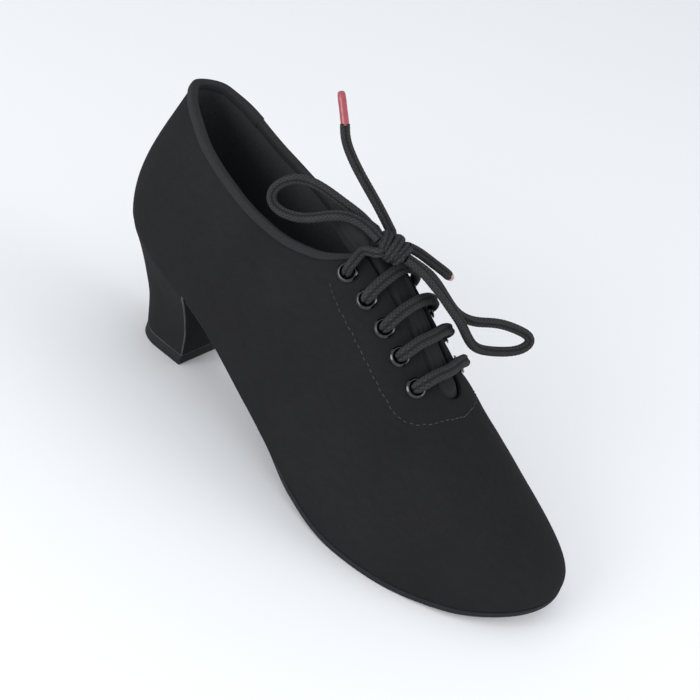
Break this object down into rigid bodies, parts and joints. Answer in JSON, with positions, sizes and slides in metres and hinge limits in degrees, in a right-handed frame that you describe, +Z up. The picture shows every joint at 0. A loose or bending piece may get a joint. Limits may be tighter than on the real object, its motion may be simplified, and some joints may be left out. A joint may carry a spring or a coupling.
{
  "type": "latin dance shoe",
  "caption": "Women's black lace-up practice shoe for Latin dance, right foot, with a hollow cloth upper, a tied lace bow, a thin suede sole and a covered Cuban heel.",
  "frame": {"origin": "under the middle of the shoe's box, on the floor that it stands on; the free bow is left out of that box", "axes": "+X towards the toe, -Y towards the wearer's outer side, +Z up"},
  "size_m": [0.237, 0.0903, 0.1346],
  "materials": {
    "upper_cloth": "matte black nap cloth",
    "binding_tape": "charcoal woven tape",
    "tongue_lining": "smooth black cloth with a slight sheen",
    "insole_cloth": "matte black cloth",
    "sole_suede": "grey split suede with a dark edge",
    "heel_cover": "black cloth cover",
    "heel_rubber": "black rubber",
    "eyelet_metal": "dark lacquered metal",
    "lace_braid": "charcoal round braid",
    "aglet_plastic": "dusty-red plastic tip"
  },
  "bodies": {
    "root": {"aglet_back": "aglet_plastic", "aglet_med": "aglet_plastic", "collar_binding": "binding_tape", "eyelet_lat_1": "eyelet_metal", "eyelet_lat_2": "eyelet_metal", "eyelet_lat_3": "eyelet_metal", "eyelet_lat_4": "eyelet_metal", "eyelet_lat_5": "eyelet_metal", "eyelet_med_1": "eyelet_metal", "eyelet_med_2": "eyelet_metal", "eyelet_med_3": "eyelet_metal", "eyelet_med_4": "eyelet_metal", "eyelet_med_5": "eyelet_metal", "heel": "heel_cover", "heel_tip": "heel_rubber", "insole": "insole_cloth", "lace_bar_2": "lace_braid", "lace_bar_3": "lace_braid", "lace_bar_4": "lace_braid", "lace_bar_5": "lace_braid", "lace_end_back": "lace_braid", "lace_end_med": "lace_braid", "lace_knot": "lace_braid", "lace_loop_lat": "lace_braid", "lace_loop_med": "lace_braid", "lace_run_lat": "lace_braid", "lace_run_med": "lace_braid", "outsole": "sole_suede", "tongue": "tongue_lining", "upper": "upper_cloth"}
  },
  "joints": []
}
